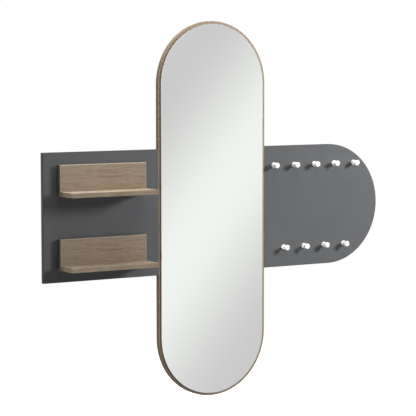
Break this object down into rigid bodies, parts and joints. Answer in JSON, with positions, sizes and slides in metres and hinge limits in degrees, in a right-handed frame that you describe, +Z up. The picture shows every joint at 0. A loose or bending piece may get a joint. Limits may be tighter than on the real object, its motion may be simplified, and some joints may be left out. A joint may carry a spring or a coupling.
{
  "type": "coat rack with mirror",
  "caption": "Wall-hung hall coat rack: a tall pill-shaped mirror between a square-ended wing with L-shaped shelves and a half-round wing with rows of turned pegs.",
  "frame": {"origin": "middle of the mirror board's back face, on the wall", "axes": "+X to the right along the wall as seen from the front, +Y into the wall, +Z up"},
  "size_m": [1.575, 0.133, 1.5096],
  "materials": {
    "oak_board": "satin melamine board with an oak print",
    "oak_band": "satin plastic edge band with an oak print",
    "anthracite_board": "satin anthracite melamine board",
    "anthracite_band": "satin anthracite plastic edge band",
    "mirror_glass": "silvered float glass with polished arrises",
    "foam_tape": "white closed-cell foam tape",
    "white_peg": "glossy white",
    "zinc_steel": "zinc-plated",
    "beech_dowel": "plain beech"
  },
  "bodies": {
    "root": {"mirror_board": "oak_board", "upper_shelf_upright": "oak_board", "upper_shelf_board": "oak_board", "lower_shelf_upright": "oak_board", "lower_shelf_board": "oak_board", "mirror_board_edge_band": "oak_band", "upper_upright_edge_bands": "oak_band", "upper_shelf_edge_bands": "oak_band", "lower_upright_edge_bands": "oak_band", "lower_shelf_edge_bands": "oak_band", "left_wing_board": "anthracite_board", "right_wing_board": "anthracite_board", "left_wing_edge_bands": "anthracite_band", "right_wing_edge_band": "anthracite_band", "mirror_glass": "mirror_glass", "mirror_tapes": "foam_tape", "upper_peg_1": "white_peg", "upper_peg_2": "white_peg", "upper_peg_3": "white_peg", "upper_peg_4": "white_peg", "upper_peg_5": "white_peg", "lower_peg_1": "white_peg", "lower_peg_2": "white_peg", "lower_peg_3": "white_peg", "lower_peg_4": "white_peg", "peg_screws": "zinc_steel", "upright_screws": "zinc_steel", "corner_screws": "zinc_steel", "hanger_screws": "zinc_steel", "cam_locks": "zinc_steel", "cam_bolts": "zinc_steel", "left_wing_hanger": "zinc_steel", "mirror_left_hanger": "zinc_steel", "mirror_right_hanger": "zinc_steel", "right_wing_hanger": "zinc_steel", "shelf_dowels": "beech_dowel", "seam_dowels": "beech_dowel"}
  },
  "joints": []
}
